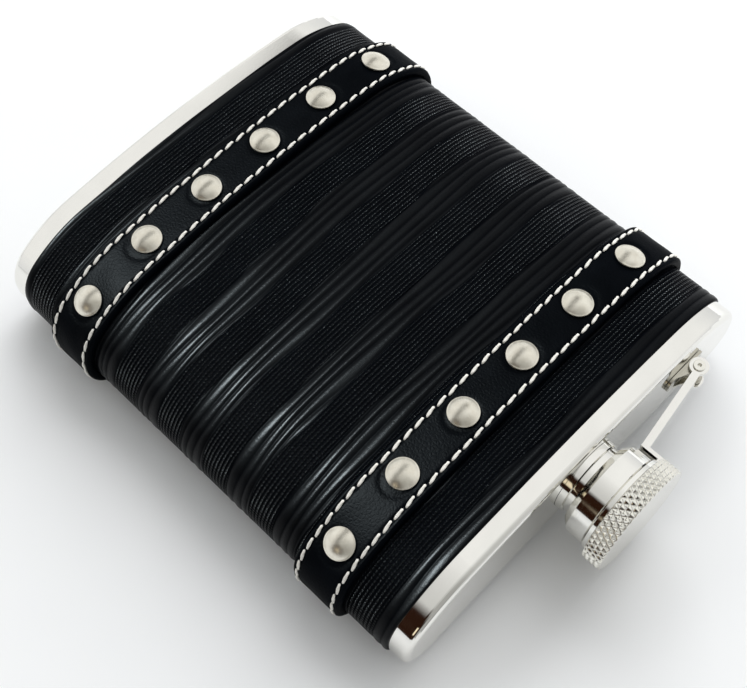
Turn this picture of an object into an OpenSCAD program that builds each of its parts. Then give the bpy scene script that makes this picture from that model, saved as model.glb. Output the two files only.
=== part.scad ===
// Hip flask: steel body with a captive screw cap, an embossed leather wrap and two studded straps.
// Each piece is drawn standing (z up the flask, x across it, y from its front to its back), then laid
// on its back: +Y runs to the cap, +Z out of the front, +X across.

/* [Body] */
// Width of the steel body, side to side
body_w = 89.6; // [76:0.1:108]
// Depth of the steel body, from the front's crest to the back's long edges
body_t = 20; // [19.4:0.1:24]
// Height from the base plate's face to the shoulder
body_h = 107; // [90:0.5:130]
// Radius that turns the broad front towards the sides
shoulder_r = 26.5; // [25.5:0.1:28]
// Angle at which the shoulder curve hands over to the corner curve, in degrees
shoulder_deg = 34.3; // [33:0.1:36]
// Radius of the front corners
corner_r = 8.8; // [8:0.1:9.5]
// Flat length of each side, measured front to back
side_flat = 1.2; // [0.6:0.1:1.6]
// Radius of the back corners, on which the flask lies
back_corner_r = 5.6; // [5:0.1:6]
// Radius of the hollow back that lies against a hip
back_r = 430; // [400:5:900]
// Thickness of the steel wall
shell_t = 0.6; // [0.4:0.05:0.8]

/* [End plates] */
// Thickness of the pressed end plates
plate_t = 0.6; // [0.5:0.05:0.7]
// Radius of the rounded edge around each end plate
plate_edge_r = 1.3; // [1.1:0.05:1.5]
// Height of the bright band under the leather
base_band = 4.5; // [3:0.1:5.5]
// Height of the bright band above the leather
top_band = 4.1; // [3:0.1:5.5]

/* [Leather wrap] */
// Thickness of the leather wrap
wrap_t = 1.15; // [0.7:0.05:1.4]
// Width of the seam where the wrap and the straps meet, down the middle of the back
seam_w = 0.4; // [0.2:0.1:1]

/* [Straps] */
// Width of each strap
strap_w = 11.2; // [10.4:0.1:14]
// Thickness of each strap
strap_t = 1.7; // [1.4:0.05:2.4]
// Bevel along the straps' outer edges
strap_edge = 0.45; // [0.2:0.05:0.5]
// Height of the lower strap's middle line above the base
strap_low_z = 20.4; // [12:0.1:32]
// Height of the upper strap's middle line above the base
strap_high_z = 87.1; // [70:0.1:89]

/* [Stitches] */
// Distance from a strap's middle line to each row of stitches
stitch_row = 4.3; // [4:0.05:4.5]
// Spacing of the stitches along a row
stitch_pitch = 2.8; // [2.6:0.05:3.6]
// Length of one stitch
stitch_len = 2.15; // [1.6:0.05:2.3]
// Width of the thread
stitch_w = 0.55; // [0.4:0.05:0.6]
// Depth of the thread
stitch_h = 0.5; // [0.4:0.05:0.7]
// Slant of each stitch to its row, in degrees
stitch_slant = 8; // [0:1:9]
// Width of the groove that a row of stitches lies in
groove_w = 1.1; // [1:0.05:1.2]
// Depth of that groove
groove_d = 0.35; // [0.2:0.05:0.4]

/* [Studs] */
// Studs across the front of each strap
stud_count = 6; // [2:1:6]
// Spacing of the studs along the front
stud_pitch = 15.1; // [12:0.1:15.4]
// Radius of a stud's domed head
stud_r = 2.95; // [2.4:0.05:3.2]
// Height of the dome above its rim
stud_dome = 1.25; // [0.8:0.05:1.6]
// Height of a stud's rim
stud_rim = 0.25; // [0.15:0.05:0.4]
// Radius of the post behind a stud
stud_post_r = 0.75; // [0.5:0.05:0.9]
// Radius of the disc that each post is set into
stud_back_r = 2.3; // [1.6:0.05:2.5]
// Thickness of that disc
stud_back_t = 0.45; // [0.3:0.05:0.6]
// Sideways offset of the lower row
stud_low_shift = 2.1; // [0:0.1:3]
// Sideways offset of the upper row
stud_high_shift = 2.8; // [0:0.1:3]

/* [Neck] */
// Radius of the neck's bore
neck_bore_r = 5.5; // [4.6:0.1:6.6]
// Wall of the neck round its bore
neck_wall = 1.6; // [1.2:0.05:1.9]
// Height of the neck above the shoulder
neck_h = 6.2; // [5.4:0.1:6.8]
// Height of the plain part of the neck, below its thread
neck_plain = 2.7; // [2.4:0.1:2.9]
// Depth of the thread ridges
thread_d = 0.4; // [0.2:0.05:0.5]
// Number of thread ridges
thread_count = 3; // [2:1:3]
// Width of the flange under the top plate, outside the neck
flange_w = 1; // [0.5:0.05:1.1]
// Thickness of that flange
flange_t = 0.8; // [0.5:0.1:1.2]
// Clearance between that flange's two flats and the steel of the body
flange_clear = 0.3; // [0.1:0.05:0.4]
// Radial width of the collar around the foot of the neck
collar_w = 0.45; // [0.3:0.05:0.5]
// Height of the collar
collar_h = 1.5; // [0.8:0.1:2]

/* [Cap] */
// Wall of the cap's skirt, outside its threaded bore
skirt_wall = 2.05; // [1.8:0.05:2.5]
// Height of the skirt
skirt_h = 5.1; // [4.9:0.05:5.2]
// Height of the bevel around the skirt's lip
lip_bevel = 1.3; // [0.8:0.05:1.4]
// Thickness of the skirt's roof, which the head is pressed into
roof_t = 0.8; // [0.6:0.05:0.9]
// Play between the cap's thread ridges and the neck's, so that the cap can swing off the neck
thread_play = 0.45; // [0.4:0.05:0.6]
// Thickness of the sealing disc
gasket_t = 0.9; // [0.6:0.05:1]
// Overhang of the knurled head beyond the skirt
head_over = 1.6; // [0.8:0.05:1.8]
// Height of the knurled head
head_h = 3.9; // [3:0.1:6]
// Bevel around the head's two edges
head_bevel = 0.25; // [0.15:0.05:0.4]
// Width of the arm's ring, from its bore to its rim
ring_w = 2; // [1.5:0.05:2.6]
// Radius of the plug that holds the head in the skirt's roof
plug_r = 4; // [3:0.1:5]
// Grooves of the knurl in each direction
knurl_count = 56; // [24:2:60]
// Depth of the knurl's grooves that lean one way
knurl_d = 0.3; // [0.26:0.02:0.34]
// Depth of the knurl's grooves that lean the other way, a little shallower so that they cross cleanly
knurl_cross_d = 0.22; // [0.14:0.02:0.24]
// Lean of the knurl's grooves, in degrees
knurl_deg = 32; // [25:1:38]

/* [Arm and hinge] */
// Thickness of the arm's sheet
arm_t = 0.6; // [0.5:0.05:0.7]
// Width of the arm over its two flanges
arm_w = 5.7; // [5.5:0.1:6.6]
// Slope of the arm's channel while the cap is on, in degrees
arm_slope = 8; // [6:0.5:9]
// Height of the arm's back above the pin
arm_rise = 1; // [0.9:0.05:1.2]
// Depth of the arm's flanges
arm_flange = 1.5; // [1.2:0.05:1.6]
// Thickness of the ring that holds the cap
ring_t = 0.8; // [0.6:0.05:0.9]
// Overhang of the arm's ring beyond the skirt
ring_over = 0.4; // [0.1:0.05:0.6]
// Thickness of the tongue that rises beside the skirt
tongue_t = 0.8; // [0.6:0.05:1]
// Radius of the round eyes at the pin
eye_r = 1.85; // [1.6:0.05:1.95]
// Distance of the pin from the neck's axis
pin_x = 29.8; // [28:0.1:34]
// Height of the pin above the shoulder
pin_h = 2.2; // [2.1:0.05:2.4]
// Radius of the pin
pin_r = 0.8; // [0.6:0.05:0.85]
// Radius of the pin's two heads
pin_head_r = 1.15; // [1:0.05:1.3]
// Thickness of the pin's heads
pin_head_t = 0.25; // [0.2:0.05:0.4]
// Radius of the hole in each end of the pin
pin_hole_r = 0.35; // [0.2:0.05:0.45]
// Width of the bracket over its two cheeks
bracket_w = 4; // [3.6:0.1:4]
// Thickness of the bracket's sheet
bracket_t = 0.6; // [0.4:0.05:0.7]
// Radius of the bracket's cheeks around the pin
cheek_r = 1.45; // [1.3:0.05:1.5]
// Reach of the bracket's foot from the pin towards the side of the flask
foot_out = 3.2; // [2:0.1:4]
// Reach of the bracket's foot from the pin towards the neck
foot_in = 6.6; // [5.6:0.1:9]

/* [Hidden] */
// Clearances: between pieces that rest on each other, round a running pin, and beside a moving piece
seat_gap = 0.05;
run_gap = 0.05;
side_gap = 0.2;
small_fn = 48;
arc_fn = 144;
wide_fn = 720;

// Section of the steel body: tangent arcs, from the middle of the front to the middle of the back.
// Two angles are rounded so that every piece of the section ends exactly where the next begins.
bend = shoulder_r - corner_r;
front_dx = body_w / 2 - corner_r - bend * sin(shoulder_deg);
front_dy = body_t - back_corner_r - side_flat - shoulder_r + bend * cos(shoulder_deg);
front_deg = round(20000 * atan(front_dy / front_dx)) / 10000;
front_r = front_dx / sin(front_deg) + shoulder_r;
turn_x = (front_r - shoulder_r) * sin(front_deg);
turn_y = front_r - (front_r - shoulder_r) * cos(front_deg);
corner_x = body_w / 2 - corner_r;
corner_y = turn_y - bend * cos(shoulder_deg);
back_corner_x = body_w / 2 - back_corner_r;
back_corner_y = corner_y + side_flat;
back_deg = round(10000 * asin(back_corner_x / (back_r + back_corner_r))) / 10000;
hollow_r = back_corner_x / sin(back_deg) - back_corner_r;
back_y = back_corner_y + (hollow_r + back_corner_r) * cos(back_deg);
mid_depth = back_y - hollow_r;
neck_y = mid_depth / 2;

// Each entry: centre x, centre y, radius or length, start angle, end angle, bulge (0 marks a flat)
SECTION = [
    [0, front_r, front_r, -90, front_deg - 90, 1],
    [turn_x, turn_y, shoulder_r, front_deg - 90, shoulder_deg - 90, 1],
    [corner_x, corner_y, corner_r, shoulder_deg - 90, 0, 1],
    [body_w / 2, corner_y, side_flat, 0, 0, 0],
    [back_corner_x, back_corner_y, back_corner_r, 0, 90 + back_deg, 1],
    [0, back_y, hollow_r, back_deg - 90, -90, -1]
];

// Heights, standing
plate_out = seat_gap + plate_t;
wrap_z0 = base_band;
wrap_z1 = body_h - top_band;
wrap_out = seat_gap + wrap_t;
strap_in = wrap_out + seat_gap;
strap_out = strap_in + strap_t;
neck_top = body_h + neck_h;
gasket_z = neck_top + seat_gap;
roof_z = gasket_z + gasket_t + seat_gap;
skirt_top = roof_z + roof_t;
lip_z = skirt_top - skirt_h;
ring_z = skirt_top + side_gap;
head_z = ring_z + ring_t + side_gap;
total_h = head_z + head_h;
pin_z = body_h + pin_h;
lie_z = body_t + strap_out;
tongue_out = 0.5;
thread_end = 0.4;
neck_edge = 0.3;
cheek_in = bracket_w / 2 - bracket_t;
arm_in = arm_w / 2 - arm_t;
thread_step = (neck_h - neck_plain - thread_end) / thread_count;
neck_r = neck_bore_r + neck_wall;
cap_bore_r = neck_r + thread_play;
skirt_r = cap_bore_r + skirt_wall;
ring_r = skirt_r + ring_over;
core_r = ring_r - ring_w;
head_r = skirt_r + head_over;
flange_r = neck_r + flange_w;
flange_half = neck_y - shell_t - flange_clear;
tongue_x = skirt_r + tongue_out;
pocket_d = stud_back_t + 2 * seat_gap;

STEEL = [0.78, 0.78, 0.8];
NICKEL = [0.72, 0.7, 0.66];
BLACK = [0.05, 0.05, 0.055];
STRAP = [0.04, 0.04, 0.045];
THREAD = [0.86, 0.84, 0.78];
SEAL = [0.9, 0.9, 0.86];

// Length of one piece of the section, drawn off outwards by a distance
function piece_len(g, off) =
    g[5] == 0 ? g[2] : abs(g[4] - g[3]) * PI / 180 * (g[2] + g[5] * off);

// Point on one piece, a distance along it, with the angle it faces: [x, y, angle]
function piece_at(g, along, off) =
    g[5] == 0 ? [g[0] + off, g[1] + along, 0]
    : let (r = g[2] + g[5] * off, a = g[3] + g[5] * along / r * 180 / PI)
        [g[0] + r * cos(a), g[1] + r * sin(a), g[5] > 0 ? a : a + 180];

function half_len(off, i = 0) =
    i == len(SECTION) ? 0 : piece_len(SECTION[i], off) + half_len(off, i + 1);

// Point round the section, a distance from the middle of the front
function walk(along, off, i = 0) =
    i == len(SECTION) - 1 || along <= piece_len(SECTION[i], off)
        ? piece_at(SECTION[i], along, off)
        : walk(along - piece_len(SECTION[i], off), off, i + 1);

function arc_points(x, y, r, a0, a1, n) =
    [for (i = [0:n]) let (a = a0 + (a1 - a0) * i / n) [x + r * cos(a), y + r * sin(a)]];

function half_outline(off, n) = concat(
    [for (g = SECTION) for (i = [0:n - 1])
        let (p = piece_at(g, piece_len(g, off) * i / n, off)) [p[0], p[1]]],
    [[0, mid_depth + off]]);

function outline(off, n) = let (half = half_outline(off, n)) concat(half,
    [for (i = [len(half) - 2:-1:1]) [-half[i][0], half[i][1]]]);

module lay() {
    translate([0, -total_h / 2, lie_z])
        rotate([-90, 0, 0])
            children();
}

module both_sides() {
    children();
    mirror([1, 0, 0])
        children();
}

// A move in whole millimetres and then the rest, which keeps long moves exact
module move_to(x, y) {
    translate([floor(x), floor(y), 0])
        translate([x - floor(x), y - floor(y), 0])
            children();
}

module turned(x, y, r, start, angle, fn) {
    move_to(x, y)
        rotate_extrude(start = start, angle = angle, $fn = fn)
            translate([floor(r), 0])
                translate([r - floor(r), 0])
                    children();
}

// A profile (x outwards from the steel's surface, y up) carried once round the section
module swept() {
    both_sides() {
        turned(0, front_r, front_r, -90, front_deg, wide_fn)
            children();
        turned(turn_x, turn_y, shoulder_r, front_deg - 90, shoulder_deg - front_deg, arc_fn)
            children();
        turned(corner_x, corner_y, corner_r, shoulder_deg - 90, 90 - shoulder_deg, arc_fn)
            children();
        move_to(body_w / 2, back_corner_y)
            rotate([90, 0, 0])
                linear_extrude(side_flat)
                    children();
        turned(back_corner_x, back_corner_y, back_corner_r, 0, 90 + back_deg, arc_fn)
            children();
        turned(0, back_y, hollow_r, -90, back_deg, wide_fn)
            mirror([1, 0])
                children();
    }
}

// Places children at a distance round the section: x outwards, y along the section, z up
module on_section(along, off, z) {
    p = walk(abs(along), off);
    if (along < 0)
        mirror([1, 0, 0])
            translate([p[0], p[1], z])
                rotate([0, 0, p[2]])
                    children();
    else
        translate([p[0], p[1], z])
            rotate([0, 0, p[2]])
                children();
}

module back_seam(z0, z1) {
    translate([-seam_w / 2, mid_depth - 1, z0 - 1])
        cube([seam_w, strap_out + 2, z1 - z0 + 2]);
}

// A pressed end plate with a rounded edge and a short skirt, its face at z = 0
module pan(band) {
    rim = 3;
    steps = 8;
    edge = plate_out - plate_edge_r;
    swept()
        polygon(concat(
            [[-rim, plate_t], [-rim, 0]],
            arc_points(edge, plate_edge_r, plate_edge_r, -90, 0, steps),
            [[plate_out, band], [seat_gap, band]],
            arc_points(edge, plate_edge_r, plate_edge_r - plate_t, 0, -90, steps)));
    linear_extrude(plate_t)
        polygon(outline(-rim / 2, steps));
}

module body_shell() {
    color(STEEL)
        lay()
            swept()
                translate([-shell_t, plate_edge_r])
                    square([shell_t, body_h - 2 * plate_edge_r]);
}

module base_plate() {
    color(STEEL)
        lay()
            pan(base_band);
}

module top_plate() {
    color(STEEL)
        lay()
            difference() {
                translate([0, 0, body_h])
                    mirror([0, 0, 1])
                        pan(top_band);
                translate([0, neck_y, body_h - 2 * plate_t])
                    cylinder(h = 3 * plate_t, r = neck_r + seat_gap, $fn = arc_fn);
            }
}

module neck_tube() {
    flange_top = body_h - plate_t - seat_gap;
    flange_foot = flange_top - flange_t;
    thread_z = body_h + neck_plain;
    color(STEEL)
        lay()
            translate([0, neck_y, 0])
                intersection() {
                    rotate_extrude($fn = arc_fn)
                        polygon(concat(
                            [[neck_bore_r, flange_foot], [flange_r, flange_foot],
                                [flange_r, flange_top], [neck_r, flange_top]],
                            [for (i = [0:thread_count - 1]) each [
                                [neck_r, thread_z + i * thread_step],
                                [neck_r - thread_d, thread_z + (i + 0.3) * thread_step],
                                [neck_r - thread_d, thread_z + (i + 0.5) * thread_step],
                                [neck_r, thread_z + (i + 0.8) * thread_step]]],
                            [[neck_r, neck_top - neck_edge], [neck_r - neck_edge, neck_top],
                                [neck_bore_r, neck_top]]));
                    // The flange has two flats where the body is too thin for all of it
                    translate([-2 * flange_r, -flange_half, flange_foot - 1])
                        cube([4 * flange_r, 2 * flange_half, neck_top - flange_foot + 2]);
                }
}

module neck_collar() {
    color(STEEL)
        lay()
            translate([0, neck_y, body_h + seat_gap])
                rotate_extrude($fn = arc_fn)
                    polygon([[neck_r + seat_gap, 0], [neck_r + seat_gap + collar_w, 0],
                        [neck_r + seat_gap + collar_w, collar_h - 0.2],
                        [neck_r + seat_gap + collar_w / 2, collar_h], [neck_r + seat_gap, collar_h]]);
}

module hinge_bracket() {
    foot_z = body_h + seat_gap;
    drop = pin_h - seat_gap;
    reach = foot_in - bracket_w / 2;
    color(STEEL)
        lay()
            translate([0, neck_y, 0])
                difference() {
                    union() {
                        translate([-pin_x - foot_out, -bracket_w / 2, foot_z])
                            cube([foot_out + foot_in - bracket_w / 2, bracket_w, bracket_t]);
                        translate([foot_in - bracket_w / 2 - pin_x, 0, foot_z])
                            cylinder(h = bracket_t, r = bracket_w / 2, $fn = small_fn);
                        for (side = [-1, 1])
                            translate([-pin_x, side * (cheek_in + bracket_t / 2) + bracket_t / 2, pin_z])
                                rotate([90, 0, 0])
                                    linear_extrude(bracket_t) {
                                        circle(r = cheek_r, $fn = small_fn);
                                        polygon([[-cheek_r, 0], [-cheek_r, -drop],
                                            [reach, -drop], [reach, bracket_t - drop],
                                            [cheek_r * 0.9, 0]]);
                                    }
                    }
                    translate([-pin_x, bracket_w, pin_z])
                        rotate([90, 0, 0])
                            cylinder(h = 2 * bracket_w, r = pin_r + seat_gap / 2, $fn = small_fn);
                }
}

module hinge_pin() {
    reach = arm_w / 2 + seat_gap;
    color(STEEL)
        lay()
            translate([-pin_x, neck_y, pin_z])
                rotate([90, 0, 0])
                    difference() {
                        union() {
                            cylinder(h = 2 * reach, r = pin_r, center = true, $fn = small_fn);
                            for (side = [0, 1])
                                mirror([0, 0, side])
                                    translate([0, 0, reach])
                                        cylinder(h = pin_head_t, r = pin_head_r, $fn = small_fn);
                        }
                        for (side = [0, 1])
                            mirror([0, 0, side])
                                translate([0, 0, reach - pin_head_t])
                                    cylinder(h = 3 * pin_head_t, r = pin_hole_r, $fn = small_fn);
                    }
}

// The arm's channel, in a frame whose x runs along the channel from the pin
module arm_channel(length) {
    web_start = cheek_r + 0.35;
    for (side = [-1, 1])
        translate([0, side * (arm_in + arm_t / 2) + arm_t / 2, 0])
            rotate([90, 0, 0])
                linear_extrude(arm_t) {
                    circle(r = eye_r, $fn = small_fn);
                    translate([0, arm_rise - arm_flange])
                        square([length, arm_flange]);
                }
    translate([web_start, -arm_w / 2, arm_rise - arm_t])
        cube([length - web_start, arm_w, arm_t]);
}

module cap_arm() {
    tongue_out = tongue_x + tongue_t;
    channel = (pin_x - tongue_x - tongue_t / 2) / cos(arm_slope);
    foot_z = pin_z + channel * sin(arm_slope) + arm_rise - arm_flange;
    color(STEEL)
        lay()
            translate([0, neck_y, 0])
                difference() {
                    union() {
                        translate([-pin_x, 0, pin_z])
                            rotate([0, -arm_slope, 0])
                                arm_channel(channel);
                        translate([-tongue_out, -arm_w / 2, foot_z])
                            cube([tongue_t, arm_w, ring_z + ring_t - foot_z]);
                        translate([-tongue_out, -arm_w / 2, ring_z])
                            cube([tongue_out - core_r, arm_w, ring_t]);
                        translate([0, 0, ring_z])
                            cylinder(h = ring_t, r = ring_r, $fn = arc_fn);
                    }
                    translate([0, 0, ring_z - 1])
                        cylinder(h = ring_t + 2, r = core_r + run_gap, $fn = arc_fn);
                    translate([-pin_x, arm_w, pin_z])
                        rotate([90, 0, 0])
                            cylinder(h = 2 * arm_w, r = pin_r + run_gap, $fn = small_fn);
                }
}

module cap_skirt() {
    lip_r = skirt_r - lip_bevel;
    color(STEEL)
        lay()
            translate([0, neck_y, 0])
                rotate_extrude($fn = arc_fn)
                    polygon(concat(
                        [[plug_r + seat_gap, roof_z], [plug_r + seat_gap, skirt_top],
                            [skirt_r - 0.2, skirt_top], [skirt_r, skirt_top - 0.2],
                            [skirt_r, lip_z + lip_bevel], [lip_r, lip_z], [cap_bore_r, lip_z]],
                        [for (i = [0:thread_count - 1]) each [
                            [cap_bore_r, lip_z + 0.5 + i * thread_step],
                            [cap_bore_r + thread_d, lip_z + 0.5 + (i + 0.3) * thread_step],
                            [cap_bore_r + thread_d, lip_z + 0.5 + (i + 0.5) * thread_step],
                            [cap_bore_r, lip_z + 0.5 + (i + 0.8) * thread_step]]],
                        [[cap_bore_r, roof_z]]));
}

module knurl_groove(lean, depth) {
    rotate([lean, 0, 0])
        rotate([0, 0, 45])
            cube([depth * sqrt(2), depth * sqrt(2), 2 * head_h], center = true);
}

module cap_head() {
    middle = head_z + head_h / 2;
    color(STEEL)
        lay()
            translate([0, neck_y, 0])
                difference() {
                    rotate_extrude($fn = arc_fn)
                        polygon([[0, roof_z], [plug_r, roof_z], [plug_r, skirt_top + seat_gap],
                            [core_r, skirt_top + seat_gap], [core_r, head_z],
                            [head_r - head_bevel, head_z], [head_r, head_z + head_bevel],
                            [head_r, total_h - head_bevel], [head_r - head_bevel, total_h], [0, total_h]]);
                    for (i = [0:knurl_count - 1])
                        rotate([0, 0, i * 360 / knurl_count])
                            translate([head_r, 0, middle]) {
                                knurl_groove(-knurl_deg, knurl_d);
                                knurl_groove(knurl_deg, knurl_cross_d);
                            }
                }
}

module cap_gasket() {
    color(SEAL)
        lay()
            translate([0, neck_y, gasket_z])
                cylinder(h = gasket_t, r = cap_bore_r - seat_gap, $fn = arc_fn);
}

module leather_wrap() {
    color(BLACK)
        lay()
            difference() {
                swept()
                    translate([seat_gap, wrap_z0])
                        square([wrap_t, wrap_z1 - wrap_z0]);
                back_seam(wrap_z0, wrap_z1);
            }
}

function stud_at(i, shift) = (i - (stud_count - 1) / 2) * stud_pitch + shift;

module strap(shift) {
    half = strap_w / 2;
    floor_x = strap_out - groove_d;
    difference() {
        swept()
            polygon(concat(
                [[strap_in, -half], [strap_out - strap_edge, -half], [strap_out, strap_edge - half]],
                [for (row = [-stitch_row, stitch_row]) each [
                    [strap_out, row - groove_w / 2], [floor_x, row - groove_w / 2],
                    [floor_x, row + groove_w / 2], [strap_out, row + groove_w / 2]]],
                [[strap_out, half - strap_edge], [strap_out - strap_edge, half], [strap_in, half]]));
        for (i = [0:stud_count - 1])
            on_section(stud_at(i, shift), wrap_out, 0)
                rotate([0, 90, 0]) {
                    cylinder(h = strap_t + 1, r = stud_post_r + seat_gap, $fn = small_fn);
                    cylinder(h = seat_gap + pocket_d, r = stud_back_r + seat_gap, $fn = small_fn);
                }
        back_seam(-half, half);
    }
}

module strap_lower() {
    color(STRAP)
        lay()
            translate([0, 0, strap_low_z])
                strap(stud_low_shift);
}

module strap_upper() {
    color(STRAP)
        lay()
            translate([0, 0, strap_high_z])
                strap(stud_high_shift);
}

module stitches() {
    off = strap_out - groove_d + seat_gap + stitch_h / 2;
    around = 2 * half_len(off);
    count = floor(around / stitch_pitch);
    for (row = [-1, 1])
        for (i = [0:count - 1]) {
            at = (i + 0.5) * around / count - around / 2;
            on_section(at, off, row * stitch_row)
                rotate([at < 0 ? -stitch_slant : stitch_slant, 0, 0])
                    cube([stitch_h, stitch_len, stitch_w], center = true);
        }
}

module stitches_lower() {
    color(THREAD)
        lay()
            translate([0, 0, strap_low_z])
                stitches();
}

module stitches_upper() {
    color(THREAD)
        lay()
            translate([0, 0, strap_high_z])
                stitches();
}

module studs(shift) {
    seat = strap_out - wrap_out + seat_gap;
    foot = 2 * seat_gap;
    dome_r = (stud_r * stud_r + stud_dome * stud_dome) / (2 * stud_dome);
    for (i = [0:stud_count - 1])
        on_section(stud_at(i, shift), wrap_out, 0)
            rotate([0, 90, 0]) {
                translate([0, 0, foot])
                    cylinder(h = seat + stud_rim - foot, r = stud_post_r, $fn = small_fn);
                intersection() {
                    translate([0, 0, seat])
                        cylinder(h = stud_rim + 2 * stud_dome, r = stud_r, $fn = small_fn);
                    translate([0, 0, seat + stud_rim + stud_dome - dome_r])
                        sphere(r = dome_r, $fn = 96);
                }
            }
}

module studs_lower() {
    color(NICKEL)
        lay()
            translate([0, 0, strap_low_z])
                studs(stud_low_shift);
}

module studs_upper() {
    color(NICKEL)
        lay()
            translate([0, 0, strap_high_z])
                studs(stud_high_shift);
}

module stud_backs(shift) {
    for (i = [0:stud_count - 1])
        on_section(stud_at(i, shift), wrap_out, 0)
            rotate([0, 90, 0])
                translate([0, 0, 2 * seat_gap])
                    difference() {
                        cylinder(h = stud_back_t, r = stud_back_r, $fn = small_fn);
                        translate([0, 0, -1])
                            cylinder(h = stud_back_t + 2, r = stud_post_r + seat_gap, $fn = small_fn);
                    }
}

module stud_backs_lower() {
    color(NICKEL)
        lay()
            translate([0, 0, strap_low_z])
                stud_backs(stud_low_shift);
}

module stud_backs_upper() {
    color(NICKEL)
        lay()
            translate([0, 0, strap_high_z])
                stud_backs(stud_high_shift);
}

body_shell();
top_plate();
base_plate();
neck_tube();
neck_collar();
hinge_bracket();
hinge_pin();
cap_arm();
cap_skirt();
cap_head();
cap_gasket();
leather_wrap();
strap_lower();
strap_upper();
stitches_lower();
stitches_upper();
studs_lower();
studs_upper();
stud_backs_lower();
stud_backs_upper();
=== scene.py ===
import bmesh
import bpy
import math
import random
import numpy as np
from mathutils import Matrix, Vector

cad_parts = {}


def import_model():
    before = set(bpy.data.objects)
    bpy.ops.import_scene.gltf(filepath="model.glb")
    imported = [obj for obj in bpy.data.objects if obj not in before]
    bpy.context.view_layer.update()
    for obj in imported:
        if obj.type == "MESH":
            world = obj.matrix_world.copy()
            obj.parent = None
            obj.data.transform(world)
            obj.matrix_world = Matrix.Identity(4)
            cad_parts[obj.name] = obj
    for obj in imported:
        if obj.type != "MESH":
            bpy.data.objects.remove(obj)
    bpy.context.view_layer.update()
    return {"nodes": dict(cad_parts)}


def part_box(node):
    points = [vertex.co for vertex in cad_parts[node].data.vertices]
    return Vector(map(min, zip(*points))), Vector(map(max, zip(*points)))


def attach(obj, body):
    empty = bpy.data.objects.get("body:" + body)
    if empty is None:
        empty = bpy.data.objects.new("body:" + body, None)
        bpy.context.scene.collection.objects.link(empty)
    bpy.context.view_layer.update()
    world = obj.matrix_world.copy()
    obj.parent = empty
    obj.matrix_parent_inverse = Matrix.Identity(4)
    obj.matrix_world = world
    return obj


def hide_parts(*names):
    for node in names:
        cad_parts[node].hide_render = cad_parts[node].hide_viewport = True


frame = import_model()
NODES = frame["nodes"]
MM = 0.001

# Driving sizes of the part's source, with the flask standing on its base (mm): first the steel body,
# then wrap, straps, stitches and studs
BODY_W, BODY_T, BODY_H = 89.6, 20.0, 107.0
SHOULDER_R, SHOULDER_DEG, CORNER_R = 26.5, 34.3, 8.8
SIDE_FLAT, BACK_CORNER_R, BACK_R = 1.2, 5.6, 430.0
SEAT_GAP = 0.05
BASE_BAND, TOP_BAND = 4.5, 4.1
WRAP_T, SEAM_W = 1.15, 0.4
STRAP_W, STRAP_T, STRAP_LOW_Z, STRAP_HIGH_Z = 11.2, 1.7, 20.4, 87.1
STITCH_ROW, STITCH_PITCH = 4.3, 2.8
STUD_COUNT, STUD_PITCH, STUD_R, STUD_DOME, STUD_RIM = 6, 15.1, 2.95, 1.25, 0.25
STUD_LOW_SHIFT, STUD_HIGH_SHIFT = 2.1, 2.8
WRAP_OUT = SEAT_GAP + WRAP_T
STRAP_IN = WRAP_OUT + SEAT_GAP
STRAP_OUT = STRAP_IN + STRAP_T

# The frame's own box gives the places that tie the standing sizes to the row frame
LIE_Z = BODY_T + STRAP_OUT
HALF_H = (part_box("cap_head")[1][1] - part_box("base_plate")[0][1]) / 2 / MM


# ---------------------------------------------------------------- section of the body

def section_pieces():
    """Tangent arcs of half the steel's section: centre x, centre y, radius, start, end, bulge."""
    rad = math.radians
    bend = SHOULDER_R - CORNER_R
    dx = BODY_W / 2 - CORNER_R - bend * math.sin(rad(SHOULDER_DEG))
    dy = BODY_T - BACK_CORNER_R - SIDE_FLAT - SHOULDER_R + bend * math.cos(rad(SHOULDER_DEG))
    front_deg = 2 * math.degrees(math.atan(dy / dx))
    front_r = dx / math.sin(rad(front_deg)) + SHOULDER_R
    turn_x = (front_r - SHOULDER_R) * math.sin(rad(front_deg))
    turn_y = front_r - (front_r - SHOULDER_R) * math.cos(rad(front_deg))
    corner_x = BODY_W / 2 - CORNER_R
    corner_y = turn_y - bend * math.cos(rad(SHOULDER_DEG))
    back_x = BODY_W / 2 - BACK_CORNER_R
    back_y = corner_y + SIDE_FLAT
    back_deg = math.degrees(math.asin(back_x / (BACK_R + BACK_CORNER_R)))
    far_y = back_y + (BACK_R + BACK_CORNER_R) * math.cos(rad(back_deg))
    return [
        (0, front_r, front_r, -90, front_deg - 90, 1),
        (turn_x, turn_y, SHOULDER_R, front_deg - 90, SHOULDER_DEG - 90, 1),
        (corner_x, corner_y, CORNER_R, SHOULDER_DEG - 90, 0, 1),
        (BODY_W / 2, corner_y, SIDE_FLAT, 0, 0, 0),
        (back_x, back_y, BACK_CORNER_R, 0, 90 + back_deg, 1),
        (0, far_y, BACK_R, back_deg - 90, -90, -1),
    ]


PIECES = section_pieces()


def piece_len(piece, off):
    """Length of one arc or flat of the section, at an offset outside the steel."""
    _, _, r, a0, a1, bulge = piece
    return r if bulge == 0 else math.radians(abs(a1 - a0)) * (r + bulge * off)


def half_len(off):
    """Length of half the section, at an offset outside the steel."""
    return sum(piece_len(p, off) for p in PIECES)


def on_half(along, off):
    """Point and outward direction on half the section, a distance from the middle of the front."""
    for k, piece in enumerate(PIECES):
        length = piece_len(piece, off)
        if along <= length or k == len(PIECES) - 1:
            x, y, r, a0, _, bulge = piece
            if bulge == 0:
                return (x + off, y + along, 1.0, 0.0)
            a = math.radians(a0) + bulge * along / (r + bulge * off)
            c, s = math.cos(a), math.sin(a)
            rr = r + bulge * off
            return (x + rr * c, y + rr * s, bulge * c, bulge * s)
        along -= length


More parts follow.
